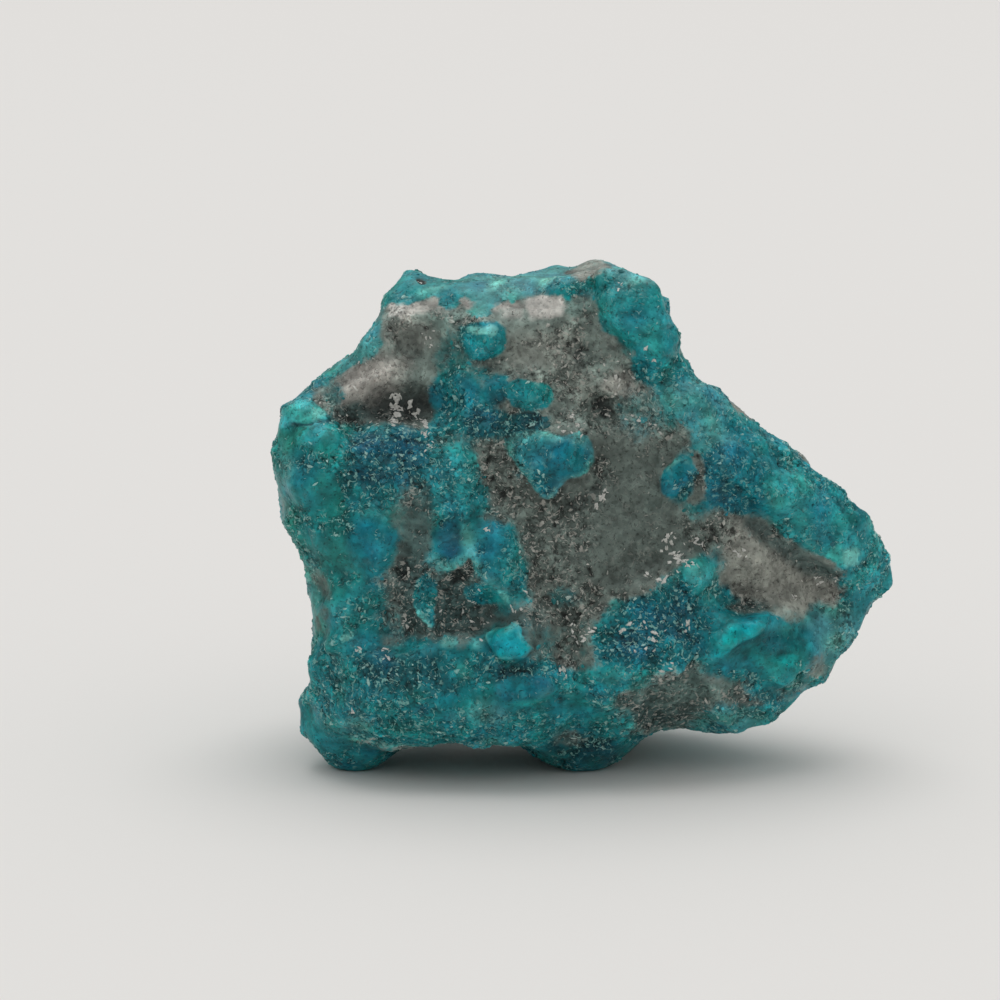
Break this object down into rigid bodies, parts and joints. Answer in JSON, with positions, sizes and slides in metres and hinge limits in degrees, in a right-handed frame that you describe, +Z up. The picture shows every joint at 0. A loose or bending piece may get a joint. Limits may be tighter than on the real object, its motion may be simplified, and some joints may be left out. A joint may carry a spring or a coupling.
{
  "type": "turquoise specimen",
  "caption": "Rough broken stone of blue-green turquoise grown through grey quartz, standing on worn feet; a mineral specimen for display.",
  "frame": {"origin": "middle of the stone's outer box, at the level of the ground its feet stand on", "axes": "+X along the stone's length, to the right as seen from its broad front; +Y from the front to the back; +Z up, as it stands"},
  "size_m": [0.0464, 0.0236, 0.0378],
  "materials": {
    "turquoise_in_quartz": "rough broken stone, blue-green turquoise with grey quartz, patchy waxy shine"
  },
  "bodies": {
    "root": {"turquoise_stone": "turquoise_in_quartz"}
  },
  "joints": []
}
